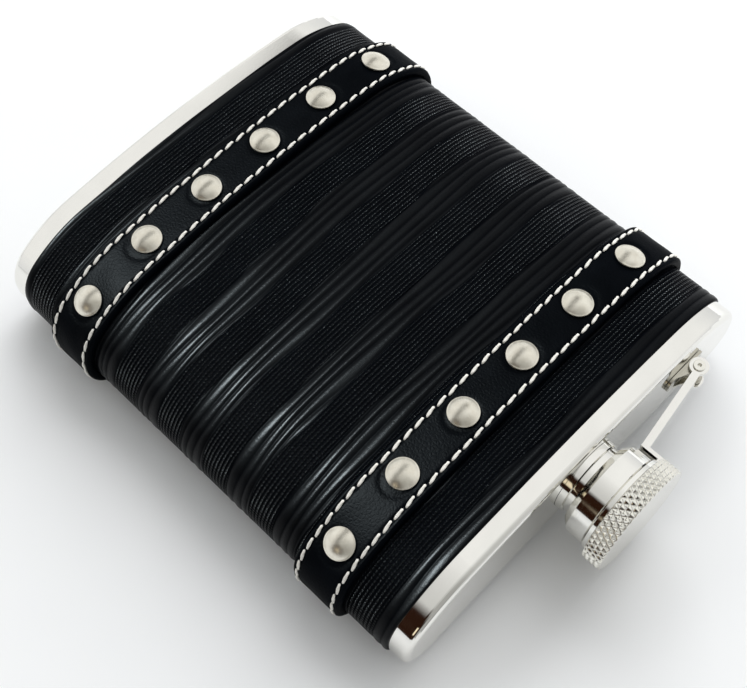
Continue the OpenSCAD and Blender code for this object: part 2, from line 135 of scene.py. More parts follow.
def ring(start, end, step, off):
    """Columns round the section from start to end: distance, x, y and outward direction at the steel."""
    n = max(2, round((end - start) / step))
    rows = []
    for i in range(n + 1):
        s = start + (end - start) * i / n
        x, y, nx, ny = on_half(abs(s), off)
        side = -1 if s < 0 else 1
        rows.append((s, side * (x - nx * off), y - ny * off, side * nx, ny))
    return np.array(rows)


def to_row(x, y, z):
    """Standing millimetres to the row frame's metres."""
    x, y, z = np.broadcast_arrays(x, y, z)
    return np.stack([x * MM, (z - HALF_H) * MM, (LIE_Z - y) * MM], axis=-1)


# ---------------------------------------------------------------- meshes

def new_mesh(name, verts, faces, attributes=None, smooth=True):
    """A mesh object in the scene, with a vector for each point under each attribute's name."""
    mesh = bpy.data.meshes.new(name)
    mesh.from_pydata([tuple(v) for v in verts], [], faces)
    mesh.validate()
    mesh.update()
    if smooth:
        mesh.polygons.foreach_set("use_smooth", [True] * len(mesh.polygons))
    for key, values in (attributes or {}).items():
        layer = mesh.attributes.new(key, "FLOAT_VECTOR", "POINT")
        layer.data.foreach_set("vector", np.asarray(values, dtype=float).ravel())
    obj = bpy.data.objects.new(name, mesh)
    bpy.context.scene.collection.objects.link(obj)
    return obj


def grid_faces(cols, rows, base=0, flip=False):
    """Quads of a grid of cols x rows points, laid out column by column."""
    faces = []
    for i in range(cols - 1):
        a = base + i * rows
        for j in range(rows - 1):
            q = (a + j, a + rows + j, a + rows + j + 1, a + j + 1)
            faces.append(q[::-1] if flip else q)
    return faces


def closed_band(name, cols, z_rows, outer, inner, extra):
    """A closed band round the section: its outer skin, a plain inner skin, and walls between them."""
    n, m = len(cols), len(z_rows)
    x, y, nx, ny = (cols[:, k][:, None] for k in (1, 2, 3, 4))
    z = z_rows[None, :] + 0 * x
    out = to_row(x + nx * outer, y + ny * outer, z).reshape(-1, 3)
    ends = z_rows[[0, -1]][None, :] + 0 * x
    back = to_row(x + nx * inner, y + ny * inner, ends).reshape(-1, 3)
    faces = grid_faces(n, m, 0)
    at = n * m
    for i in range(n - 1):
        a, b = at + 2 * i, at + 2 * i + 2
        faces.append((a, a + 1, b + 1, b))
        faces.append((i * m, a, b, (i + 1) * m))
        faces.append(((i + 1) * m + m - 1, b + 1, a + 1, i * m + m - 1))
    faces.append(tuple(range(m - 1, -1, -1)) + (at, at + 1))
    last = (n - 1) * m
    faces.append(tuple(range(last, last + m)) + (at + 2 * n - 1, at + 2 * n - 2))
    tail = np.concatenate([extra.reshape(n, m, 3)[:, 0], extra.reshape(n, m, 3)[:, -1]], 1).reshape(-1, 3)
    return new_mesh(name, np.concatenate([out, back]), faces,
                    {"cloth": np.concatenate([extra.reshape(-1, 3), tail])})


def smoothstep(a, b, x):
    """0 below a, 1 above b, and an S-curve between them."""
    t = np.clip((x - a) / (b - a), 0, 1)
    return t * t * (3 - 2 * t)


def waves(s, v, seed, count, along, across):
    """Smooth wandering between about -1 and 1: a few waves of these mean lengths with fixed phases."""
    rnd = random.Random(seed)
    total = 0 * s
    for _ in range(count):
        length_s = along * rnd.uniform(0.6, 1.6) * rnd.choice((-1, 1))
        length_v = across * rnd.uniform(0.6, 1.6)
        total = total + np.sin(2 * math.pi * (s / length_s + v / length_v) + rnd.uniform(0, 2 * math.pi))
    spread = math.sqrt(count / 2)
    return total / spread / 1.6


# ---------------------------------------------------------------- leather wrap

# Bands of ridges and of dotted ground by turns up the body, and a height where ridges are in the middle
BAND_PERIOD, BAND_MIDDLE = 12.3, 53.0
# The ridges grow shallower round the sides, between two distances from the middle of the front
RIDGE_PITCH, RIDGE_DEPTH, SIDE_DEPTH = 1.75, 0.40, 0.18
SIDE_FROM, SIDE_TO = 34, 46
WRAP_EDGE_R = 0.35


def embossing(s, z):
    """Height from 0 to 1 of the embossed face, and its kind there: 1 dotted ground, down to -1 a crest."""
    drift = 0.30 * waves(s, z, seed=11, count=4, along=95, across=60)
    drift = drift + 0.15 * waves(s, z, seed=12, count=5, along=40, across=18)
    v = z - BAND_MIDDLE + drift
    ragged = 0.16 * waves(s, z, seed=13, count=5, along=26, across=7)
    ridged = smoothstep(-0.12, 0.14, np.cos(2 * math.pi * v / BAND_PERIOD) + ragged)
    wander = 0.42 * waves(s, z, seed=14, count=5, along=58, across=6.5)
    crest = np.abs(np.cos(math.pi * v / RIDGE_PITCH + wander))
    strength = 0.9 + 0.16 * waves(s, z, seed=15, count=5, along=30, across=4)
    ridges = 0.06 + 0.94 * crest * np.clip(strength, 0.5, 1)
    ground = 0.5 + 0.03 * waves(s, z, seed=16, count=5, along=14, across=3)
    return ridged * ridges + (1 - ridged) * ground, (1 - ridged) - ridged * ridges


def leather_wrap():
    """The wrap round the whole body: embossed outside, with rounded edges and a seam at the back."""
    half = half_len(WRAP_OUT) - SEAM_W / 2
    step, rise = ((0.9, 0.15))
    cols = ring(-half, half, step, WRAP_OUT)
    z0, z1 = BASE_BAND, BODY_H - TOP_BAND
    edge = np.array([0, 0.03, 0.1, 0.2, 0.34])  # rows crowd towards the rounded edges
    rows = np.concatenate([z0 + edge, np.arange(z0 + 0.5, z1 - 0.45, rise), z1 - edge[::-1]])
    s, z = cols[:, 0][:, None] + 0 * rows[None, :], rows[None, :] + 0 * cols[:, 0][:, None]
    height, kind = embossing(s, z)
    depth = RIDGE_DEPTH + (SIDE_DEPTH - RIDGE_DEPTH) * smoothstep(SIDE_FROM, SIDE_TO, np.abs(s))
    off = WRAP_OUT - depth * (1 - height)
    near = np.minimum(np.minimum(z - z0, z1 - z), half - np.abs(s))
    lip = np.clip(WRAP_EDGE_R - near, 0, WRAP_EDGE_R)
    off = off - (WRAP_EDGE_R - np.sqrt(np.maximum(WRAP_EDGE_R ** 2 - lip ** 2, 0)))
    extra = np.stack([s, z, kind], -1)
    obj = closed_band("wrap_embossed_leather", cols, rows, off, SEAT_GAP, extra)
    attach(obj, "flask")
    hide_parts("leather_wrap")
    return obj


# ---------------------------------------------------------------- straps, stitches and studs

def stud_places(shift):
    """Distances of the studs round the wrap from the middle of the front."""
    return [(i - (STUD_COUNT - 1) / 2) * STUD_PITCH + shift for i in range(STUD_COUNT)]


# The stitches lie in a groove, and their thread stands out of its floor (mm)
STITCH_GROOVE, THREAD_LIFT = 0.35, 0.25
STITCH_OFF = STRAP_OUT - STITCH_GROOVE + SEAT_GAP + THREAD_LIFT


def stitch_places():
    """Distances of a row's stitches from the middle of the front, and their even pitch."""
    around = 2 * half_len(STITCH_OFF)
    count = math.floor(around / STITCH_PITCH)
    return [(i + 0.5) * around / count - around / 2 for i in range(count)], around / count


# The strap's turned edge, the dip along each row, the holes in it, and the dent round a stud (mm)
STRAP_EDGE_R, EDGE_BULGE, BULGE_IN, BULGE_HALF = 0.75, 0.06, 0.55, 0.4
ROW_DIP, HOLE_DIP, DIP_HALF = 0.2, 0.12, 0.42
DENT_DEPTH, DENT_HALF = 0.16, 0.5
# How uneven the face is, how far the cut edge wanders in, and the least the face stays under the CAD's
UNEVEN, EDGE_WANDER, FACE_UNDER = 0.035, 0.09, 0.005


def strap_face(s, w, shift, seed):
    """Offset of the strap's outer face from the steel, round the section (s) and across it (w)."""
    hw = STRAP_W / 2
    over = np.clip(np.abs(w) - (hw - STRAP_EDGE_R), 0, STRAP_EDGE_R)
    off = STRAP_OUT - (STRAP_EDGE_R - np.sqrt(np.maximum(STRAP_EDGE_R ** 2 - over ** 2, 0)))
    pitch = stitch_places()[1]
    scale = half_len(STITCH_OFF) / half_len(STRAP_OUT)
    hole = 0.5 - 0.5 * np.cos(2 * math.pi * s * scale / pitch)
    for row in (-STITCH_ROW, STITCH_ROW):
        off = off - np.exp(-((w - row) / DIP_HALF) ** 2) * (ROW_DIP + HOLE_DIP * hole)
    bulge = EDGE_BULGE * np.exp(-((np.abs(w) - (hw - BULGE_IN)) / BULGE_HALF) ** 2)
    off = off + bulge - EDGE_BULGE
    for at in stud_places(shift):
        d = np.sqrt((s * half_len(WRAP_OUT) / half_len(STRAP_OUT) - at) ** 2 + w ** 2)
        off = off - DENT_DEPTH * np.exp(-((d - STUD_R) / DENT_HALF) ** 2)
    off = off - UNEVEN * (1 + waves(s, w, seed, count=5, along=13, across=8))
    return np.minimum(off, STRAP_OUT - FACE_UNDER)


def strap(name, node, middle, shift, seed):
    """One strap round the wrap, its edges cut very slightly unevenly, with a seam at the back."""
    half = half_len(STRAP_OUT) - SEAM_W / 2
    step = 0.4
    cols = ring(-half, half, step, STRAP_OUT)
    hw = STRAP_W / 2
    flat = hw - STRAP_EDGE_R
    arc = [flat + STRAP_EDGE_R * math.sin(math.radians(a)) for a in (90, 84, 74, 62, 48, 32, 16)]
    fine = list(np.arange(-hw + STRAP_EDGE_R, flat + 0.01, 0.18))
    across = np.array([-a for a in arc] + fine + arc[::-1])
    s = cols[:, 0][:, None] + 0 * across[None, :]
    w = across[None, :] + 0 * cols[:, 0][:, None]
    wander = EDGE_WANDER * np.abs(waves(s, 0 * w, seed + 1, count=4, along=34, across=50))
    wander = wander * smoothstep(hw - 2, hw, np.abs(w))
    extra = np.stack([s, w + middle, 0 * s], -1)
    obj = closed_band(name, cols, across + middle, strap_face(s, w, shift, seed), STRAP_IN, extra)
    mesh = obj.data
    outer = len(cols) * len(across)
    co = np.empty(len(mesh.vertices) * 3)
    mesh.vertices.foreach_get("co", co)
    co = co.reshape(-1, 3)
    co[:outer, 1] -= wander.ravel() * np.sign(w.ravel()) * MM
    mesh.vertices.foreach_set("co", co.ravel())
    mesh.update()
    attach(obj, "flask")
    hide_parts(node)
    return obj


def place(along, off, z):
    """Matrix in standing millimetres: local x along the section, y up the body, z outwards."""
    x, y, nx, ny = on_half(abs(along), off)
    side = -1 if along < 0 else 1
    x, nx = side * x, side * nx
    out = Vector((nx, ny, 0))
    up = Vector((0, 0, 1))
    go = up.cross(out)
    m = Matrix((go, up, out)).transposed().to_4x4()
    m.translation = Vector((x, y, z))
    return m


def many(name, items, node):
    """One object from (matrix, verts, faces, tag) lists, in standing millimetres."""
    verts, faces, tags = [], [], []
    for m, vs, fs, tag in items:
        base = len(verts)
        verts += [m @ Vector(v) for v in vs]
        faces += [tuple(base + k for k in f) for f in fs]
        tags += tag
    arr = np.array([tuple(v) for v in verts])
    obj = new_mesh(name, to_row(arr[:, 0], arr[:, 1], arr[:, 2]), [f[::-1] for f in faces],
                   {"thread": np.array(tags)})
    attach(obj, "flask")
    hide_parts(node)
    return obj


# A stitch: its length, half width and half height, lean (degrees), arch, dive at its ends, and depth (mm)
STITCH_LEN, STITCH_HALF, STITCH_TALL, STITCH_LEAN = 2.58, 0.28, 0.24, 8
STITCH_ARCH, STITCH_DIVE, STITCH_SINK = 0.12, 0.12, 0.1
# Its two plies: how far they bulge, as a share, and how far they turn along it (radians)
PLY_BULGE, PLY_TURN = 0.13, 5.2


def stitch_shape(rnd):
    """A two-ply thread that rises from one hole and dives into the next."""
    length = STITCH_LEN + rnd.uniform(-0.1, 0.08)
    steps, around = ((14, 12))
    slant = math.radians(STITCH_LEAN + rnd.uniform(-3, 3))
    verts, tags = [], []
    for i in range(steps + 1):
        t = i / steps
        x = (t - 0.5) * length
        swell = math.sqrt(max(0.0, 1 - (2 * t - 1) ** 6))
        lift = STITCH_ARCH * (1 - (2 * t - 1) ** 2) - STITCH_DIVE * (2 * t - 1) ** 8
        for k in range(1 if i in (0, steps) else around):
            a = 2 * math.pi * k / around
            ply = 1 + PLY_BULGE * math.cos(2 * (a - PLY_TURN * t))
            y = STITCH_HALF * ply * swell * math.cos(a)
            verts.append((x * math.cos(slant) - y * math.sin(slant),
                          x * math.sin(slant) + y * math.cos(slant),
                          lift + STITCH_TALL * ply * swell * math.sin(a)))
            tags.append((t, a, 0))
    faces = []
    last = 1 + (steps - 1) * around  # each end is one point, joined to the nearest ring by a fan
    for k in range(around):
        n = (k + 1) % around
        faces.append((0, 1 + n, 1 + k))
        for base in range(1, last - around, around):
            faces.append((base + k, base + n, base + around + n, base + around + k))
        faces.append((last - around + k, last - around + n, last))
    return verts, faces, tags


def stitches(name, node, middle, seed):
    """Both rows of stitches of the strap whose middle is at this height."""
    rnd = random.Random(seed)
    items = []
    for row in (-1, 1):
        for at in stitch_places()[0]:
            verts, faces, tags = stitch_shape(rnd)
            height = middle + row * STITCH_ROW + rnd.uniform(-0.05, 0.05)
            items.append((place(at, STITCH_OFF - STITCH_SINK, height), verts, faces, tags))
    return many(name, items, node)


# The roll of a stud's rim across and down, the break of its lower edge, and its post's radius and end (mm)
STUD_ROLL, ROLL_DOWN, STUD_BREAK, POST_R, POST_END = 0.16, 0.14, 0.06, 0.75, 0.1


def stud_shape():
    """A pressed dome with a rolled rim, turned about its own z, with its post."""
    around = 64
    seat = STRAP_OUT - WRAP_OUT + SEAT_GAP
    dome_r = (STUD_R ** 2 + STUD_DOME ** 2) / (2 * STUD_DOME)
    top = seat + STUD_RIM + STUD_DOME
    profile = [(0.0, top)]
    edge = math.asin((STUD_R - STUD_ROLL) / dome_r)
    for i in range(1, 15):
        a = edge * i / 14
        profile.append((dome_r * math.sin(a), top - dome_r * (1 - math.cos(a))))
    low = profile[-1][1]
    for a in (35, 60, 85):
        profile.append((STUD_R - STUD_ROLL + STUD_ROLL * math.sin(math.radians(a)),
                        low - ROLL_DOWN * (1 - math.cos(math.radians(a)))))
    profile += [(STUD_R, seat + STUD_BREAK), (STUD_R - STUD_BREAK, seat)]
    profile += [(POST_R, seat), (POST_R, POST_END), (0.0, POST_END)]
    verts, faces = [], []
    for r, h in profile:
        if r == 0:
            verts.append((0, 0, h))
        else:
            verts += [(r * math.cos(2 * math.pi * k / around), r * math.sin(2 * math.pi * k / around), h)
                      for k in range(around)]
    for k in range(around):
        faces.append((0, 1 + k, 1 + (k + 1) % around))
    base = 1
    for _ in range(len(profile) - 3):
        for k in range(around):
            n = (k + 1) % around
            faces.append((base + k, base + around + k, base + around + n, base + n))
        base += around
    for k in range(around):
        faces.append((base + k, len(verts) - 1, base + (k + 1) % around))
    return verts, faces


def studs(name, node, middle, shift, seed):
    """A strap's studs, each turned and tilted a little its own way."""
    rnd = random.Random(seed)
    verts, faces = stud_shape()
    items = []
    for at in stud_places(shift):
        tilt = Matrix.Rotation(math.radians(rnd.uniform(-1.2, 1.2)), 4, "X")
        tilt = tilt @ Matrix.Rotation(rnd.uniform(0, 6.28), 4, "Z")
        items.append((place(at, WRAP_OUT, middle) @ tilt, verts, faces,
                      [(rnd.random(), 0, 0)] * len(verts)))
    return many(name, items, node)


# ---------------------------------------------------------------- metal pieces

# The knurl: its pitches round the head, and its grooves' lean (degrees), depth and half width
KNURL_COUNT, KNURL_DEG, KNURL_DEPTH, KNURL_HALF = 56, 32, 0.34, 0.44
# The head's height, its bevel, the width of its plain lip, the dish in its end, its core and its plug (mm)
HEAD_H, HEAD_BEVEL, HEAD_LIP, HEAD_DISH, CORE_R, PLUG_R = 3.9, 0.25, 0.8, 0.02, 8.0, 4.0


def knurl_cut(angle, up, head_r):
    """How deep the grooves cut at each angle, at a height from the middle of the head."""
    pitch = 2 * math.pi * head_r / KNURL_COUNT
    lean = math.radians(KNURL_DEG)
    cut = np.zeros(len(angle))
    for side, depth in ((1, KNURL_DEPTH), (-1, KNURL_DEPTH * 0.9)):
        turn = (angle * head_r + side * up * math.tan(lean)) / pitch % 1
        away = np.abs(turn - 0.5) * pitch * math.cos(lean)
        cut = np.maximum(cut, depth * np.clip(1 - away / KNURL_HALF, 0, 1) ** 0.9)
    return cut


def knurled_head():
    """The turned cap head: a diamond-knurled band cut by two sets of leaning grooves."""
    low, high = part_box("cap_head")
    mid_x, mid_z = (low[0] + high[0]) / 2, (low[2] + high[2]) / 2
    head_r = (high[0] - low[0]) / 2 / MM
    top, roof = high[1] / MM, low[1] / MM
    base = top - HEAD_H
    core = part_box("cap_skirt")[1][1] / MM + SEAT_GAP
    per = 14
    rise = 0.11
    band = list(np.arange(base + HEAD_BEVEL, top - HEAD_BEVEL + 0.01, rise))
    slope = [0.0, 0.35, 0.7]
    profile = [(PLUG_R, roof), (PLUG_R, core), (CORE_R, core), (CORE_R, base)]
    profile += [(head_r - HEAD_LIP, base)]
    profile += [(head_r - HEAD_BEVEL * (1 - t), base + HEAD_BEVEL * t) for t in slope]
    profile += [(head_r, h) for h in band]
    profile += [(head_r - HEAD_BEVEL * (1 - t), top - HEAD_BEVEL * t) for t in slope[::-1]]
    profile += [(head_r - 0.5, top), (head_r - HEAD_LIP, top), (head_r * 0.55, top - HEAD_DISH)]
    n = KNURL_COUNT * per
    angle = np.arange(n) * 2 * math.pi / n
    verts = []
    for r, h in profile:
        rr = np.minimum(r, head_r - knurl_cut(angle, h - (base + top) / 2, head_r))
        verts.append(np.stack([mid_x + rr * MM * np.cos(angle), np.full(n, h * MM),
                               mid_z + rr * MM * np.sin(angle)], -1))
    rows = len(profile)
    verts = list(np.concatenate(verts))
    verts += [(mid_x, roof * MM, mid_z), (mid_x, (top - HEAD_DISH) * MM, mid_z)]
    faces = []
    for i in range(rows - 1):
        for k in range(n):
            q = (k + 1) % n
            faces.append((i * n + k, (i + 1) * n + k, (i + 1) * n + q, i * n + q))
    for k in range(n):
        q = (k + 1) % n
        faces.append((k, q, rows * n))
        faces.append(((rows - 1) * n + q, (rows - 1) * n + k, rows * n + 1))
    obj = new_mesh("cap_head_knurled", verts, faces)
    obj.data.set_sharp_from_angle(angle=math.radians(50))
    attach(obj, "cap")
    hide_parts("cap_head")
    return obj


# Points closer than this are one (m), and edges that turn less or more than these angles go or are rounded
SAME_POINT, FLAT_DEG, SHARP_DEG = 2e-7, 0.8, 35


def softened(name, node, body, width):
    """The CAD node's own shape with its cut edges rounded over, as barrel polishing leaves them."""
    mesh = NODES[node].data.copy()
    mesh.materials.clear()
    if "custom_normal" in mesh.attributes:
        mesh.attributes.remove(mesh.attributes["custom_normal"])
    work = bmesh.new()
    work.from_mesh(mesh)
    bmesh.ops.remove_doubles(work, verts=work.verts, dist=SAME_POINT)
    bmesh.ops.dissolve_limit(work, angle_limit=math.radians(FLAT_DEG), verts=work.verts, edges=work.edges)
    bmesh.ops.recalc_face_normals(work, faces=work.faces)
    work.to_mesh(mesh)
    work.free()
    obj = bpy.data.objects.new(name, mesh)
    bpy.context.scene.collection.objects.link(obj)
    bevel = obj.modifiers.new("edges", "BEVEL")
    bevel.width = width * MM
    bevel.segments = 3
    bevel.limit_method = "ANGLE"
    bevel.angle_limit = math.radians(SHARP_DEG)
    bevel.miter_outer = "MITER_ARC"
    mesh.polygons.foreach_set("use_smooth", [True] * len(mesh.polygons))
    mesh.set_sharp_from_angle(angle=math.radians(SHARP_DEG + 5))
    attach(obj, body)
    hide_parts(node)
    return obj


# ---------------------------------------------------------------- materials

def set_stops(node, stops):
    """Gives a colour ramp these places and colours."""
    marks = node.color_ramp.elements
    while len(marks) < len(stops):
        marks.new(0.5)
    for k, (at, colour) in enumerate(stops):
        marks[k].position = at
        marks[k].color = (*colour, 1)


class Nodes:
    """A material's node tree with short helpers."""

    def __init__(self, name):
        self.mat = bpy.data.materials.new(name)
        self.mat.use_nodes = True
        self.tree = self.mat.node_tree
        self.shader = next(n for n in self.tree.nodes if n.type == "BSDF_PRINCIPLED")

    def node(self, kind, **values):
        """A node with its settings, or its inputs' values, by name."""
        n = self.tree.nodes.new(kind)
        for key, value in values.items():
            if hasattr(n, key):
                setattr(n, key, value)
            else:
                n.inputs[key.replace("_", " ")].default_value = value
        return n

    def link(self, a, b):
        self.tree.links.new(a, b)

    def set(self, **values):
        """Sets inputs of the surface shader by name."""
        for key, value in values.items():
            self.shader.inputs[key.replace("_", " ")].default_value = value

    def math(self, op, a, b=None):
        """Output of an operation on numbers or other nodes' outputs."""
        n = self.node("ShaderNodeMath", operation=op)
        for k, v in enumerate((a, b)):
            if v is None:
                continue
            if isinstance(v, (int, float)):
                n.inputs[k].default_value = v
            else:
                self.link(v, n.inputs[k])
        return n.outputs[0]

    def ramp(self, fac, stops):
        n = self.node("ShaderNodeValToRGB")
        set_stops(n, stops)
        self.link(fac, n.inputs[0])
        return n.outputs[0]

    def noise(self, scale, detail=4, vector=None):
        n = self.node("ShaderNodeTexNoise")
        n.inputs["Scale"].default_value = scale
        n.inputs["Detail"].default_value = detail
        n.inputs["Roughness"].default_value = 0.55
        if vector is None:
            vector = self.object_place()
        self.link(vector, n.inputs["Vector"])
        return n.outputs["Fac"]

    def object_place(self):
        if not hasattr(self, "_place"):
            self._place = self.node("ShaderNodeTexCoord").outputs["Object"]
        return self._place

    def bump(self, height, distance, strength):
        n = self.node("ShaderNodeBump")
        n.inputs["Strength"].default_value = strength
        n.inputs["Distance"].default_value = distance
        self.link(height, n.inputs["Height"])
        return n.outputs["Normal"]


# Pitches of the woven dots up the body and round it (mm)
DOT_ROW, DOT_COL = 0.80, 0.72


def wrap_material():
    """Black leather: rows of small dots on the ground between ridges, and shine only on what stands out."""
    m = Nodes("embossed_black_leather")
    cloth = m.node("ShaderNodeAttribute", attribute_name="cloth").outputs["Vector"]
    parts = m.node("ShaderNodeSeparateXYZ")
    m.link(cloth, parts.inputs[0])
    s, z, kind = parts.outputs
    ground = m.math("MAXIMUM", kind, 0)
    crest = m.math("SUBTRACT", 1, m.math("POWER", m.math("ADD", 1, m.math("MINIMUM", kind, 0)), 1.5))
    jitter = m.math("MULTIPLY", m.noise(60, 2), 1.2)
    row = m.math("SINE", m.math("ADD", m.math("MULTIPLY", z, 2 * math.pi / DOT_ROW), jitter))
    col = m.math("SINE", m.math("ADD", m.math("MULTIPLY", s, 2 * math.pi / DOT_COL), jitter))
    row = m.math("ADD", m.math("MULTIPLY", row, 0.5), 0.5)
    col = m.math("ADD", m.math("MULTIPLY", col, 0.5), 0.5)
    dots = m.math("MULTIPLY", m.math("POWER", row, 0.8), m.math("ADD", 0.35, m.math("MULTIPLY", col, 0.65)))
    weave = m.math("MULTIPLY", dots, ground)
    grain = m.noise(2600, 3)
    height = m.math("ADD", weave, m.math("MULTIPLY", grain, 0.10))
    m.link(m.bump(height, 0.00040, 1.0), m.shader.inputs["Normal"])
    wear = m.noise(90, 5)
    colour = m.ramp(m.math("ADD", m.math("MULTIPLY", weave, 0.35), m.math("MULTIPLY", wear, 0.5)),
                    [(0.2, (0.0016, 0.0021, 0.0032)), (0.8, (0.0044, 0.0058, 0.0080))])
    m.link(colour, m.shader.inputs["Base Color"])
    smoother = m.math("ADD", 0.27, m.math("MULTIPLY", ground, -0.08))
    m.link(m.math("ADD", smoother, m.math("MULTIPLY", wear, 0.12)), m.shader.inputs["Roughness"])
    dot_shine = m.math("MULTIPLY", m.math("MULTIPLY", ground, m.math("POWER", dots, 2)), 2.2)
    shine = m.math("ADD", dot_shine, crest)
    m.link(m.math("ADD", 0.003, m.math("MULTIPLY", shine, 0.055)), m.shader.inputs["Specular IOR Level"])
    return m.mat


def strap_material():
    """Smooth black leather with a fine pebbled grain."""
    m = Nodes("smooth_black_leather")
    cells = m.node("ShaderNodeTexVoronoi", feature="DISTANCE_TO_EDGE")
    cells.inputs["Scale"].default_value = 1500
    m.link(m.object_place(), cells.inputs["Vector"])
    grain = m.math("MINIMUM", m.math("MULTIPLY", cells.outputs["Distance"], 3), 1)
    fine = m.noise(4200, 3)
    height = m.math("ADD", m.math("MULTIPLY", grain, 0.5), m.math("MULTIPLY", fine, 0.5))
    m.link(m.bump(height, 0.00006, 0.7), m.shader.inputs["Normal"])
    wear = m.noise(140, 5)
    m.link(m.ramp(wear, [(0.3, (0.0007, 0.0013, 0.0024)), (0.75, (0.0018, 0.0028, 0.0046))]),
           m.shader.inputs["Base Color"])
    m.link(m.math("ADD", 0.36, m.math("MULTIPLY", wear, 0.16)), m.shader.inputs["Roughness"])
    m.set(Specular_IOR_Level=0.011)
    return m.mat


def thread_material():
    """Waxed cream thread, its fibres running round it."""
    m = Nodes("cream_thread")
    tag = m.node("ShaderNodeAttribute", attribute_name="thread").outputs["Vector"]
    parts = m.node("ShaderNodeSeparateXYZ")
    m.link(tag, parts.inputs[0])
    fibre = m.math("SINE", m.math("ADD", m.math("MULTIPLY", parts.outputs[0], 70),
                                  m.math("MULTIPLY", parts.outputs[1], 2)))
    fuzz = m.noise(9000, 3)
    height = m.math("ADD", m.math("MULTIPLY", fibre, 0.4), fuzz)
    m.link(m.bump(height, 0.00005, 0.6), m.shader.inputs["Normal"])
    m.link(m.ramp(m.math("ADD", m.math("MULTIPLY", fuzz, 0.7), m.math("MULTIPLY", fibre, 0.12)),
                  [(0.15, (0.80, 0.77, 0.69)), (0.45, (0.96, 0.95, 0.91))]), m.shader.inputs["Base Color"])
    m.set(Roughness=0.72, Sheen_Weight=0.15)
    return m.mat


def nickel_material():
    """Satin nickel with a warm, slightly cloudy plating."""
    m = Nodes("satin_nickel")
    cloud = m.noise(700, 4)
    fine = m.noise(5200, 2)
    m.link(m.ramp(cloud, [(0.3, (0.74, 0.70, 0.60)), (0.7, (0.88, 0.85, 0.75))]),
           m.shader.inputs["Base Color"])
    m.link(m.math("ADD", 0.28, m.math("MULTIPLY", cloud, 0.12)), m.shader.inputs["Roughness"])
    uneven = m.math("ADD", fine, m.math("MULTIPLY", cloud, 2.0))
    m.link(m.bump(uneven, 0.00002, 0.5), m.shader.inputs["Normal"])
    m.set(Metallic=1.0)
    return m.mat


def steel_material(name, rough, colour, brushed=0.0):
    """Polished steel: faint handling haze and hairlines over a bright mirror."""
    m = Nodes(name)
    haze = m.noise(120, 5)
    stretch = m.node("ShaderNodeMapping")
    stretch.inputs["Scale"].default_value = (1, 1, 1) if not brushed else (0.05, 1, 1)
    m.link(m.object_place(), stretch.inputs["Vector"])
    lines = m.noise(6000 if brushed else 2500, 2, stretch.outputs[0])
    m.link(m.math("ADD", rough, m.math("MULTIPLY", haze, rough * 0.9)), m.shader.inputs["Roughness"])
    low = tuple(c * 0.93 for c in colour)
    m.link(m.ramp(haze, [(0.3, low), (0.7, colour)]), m.shader.inputs["Base Color"])
    m.link(m.bump(lines, 0.000004 + 0.00001 * brushed, 0.35 + 0.4 * brushed), m.shader.inputs["Normal"])
    m.set(Metallic=1.0)
    return m.mat


def seal_material():
    """Soft white silicone."""
    m = Nodes("white_silicone")
    n = m.noise(800, 4)
    m.link(m.ramp(n, [(0.3, (0.78, 0.78, 0.74)), (0.7, (0.88, 0.88, 0.85))]), m.shader.inputs["Base Color"])
    m.link(m.bump(n, 0.00003, 0.4), m.shader.inputs["Normal"])
    m.set(Roughness=0.5, Subsurface_Weight=0.1)
    return m.mat


def give(obj, material):
    """Puts a material in every slot."""
    if len(obj.material_slots) == 0:
        obj.data.materials.append(material)
    for holder in obj.material_slots:
        holder.material = material


# ---------------------------------------------------------------- studio and camera

# Directions of the dark room and of the dimmer side, and the colours of room, lamp and strip
WORLD_STRENGTH = 1.0
ROOM_AT, DIM_AT = (0.93, 0.05, 0.36), (0.62, 0.66, 0.42)
ROOM_BROWN, LAMP_CREAM, STRIP_GREY = (0.022, 0.008, 0.004), (1.0, 0.86, 0.62), (0.10, 0.10, 0.095)


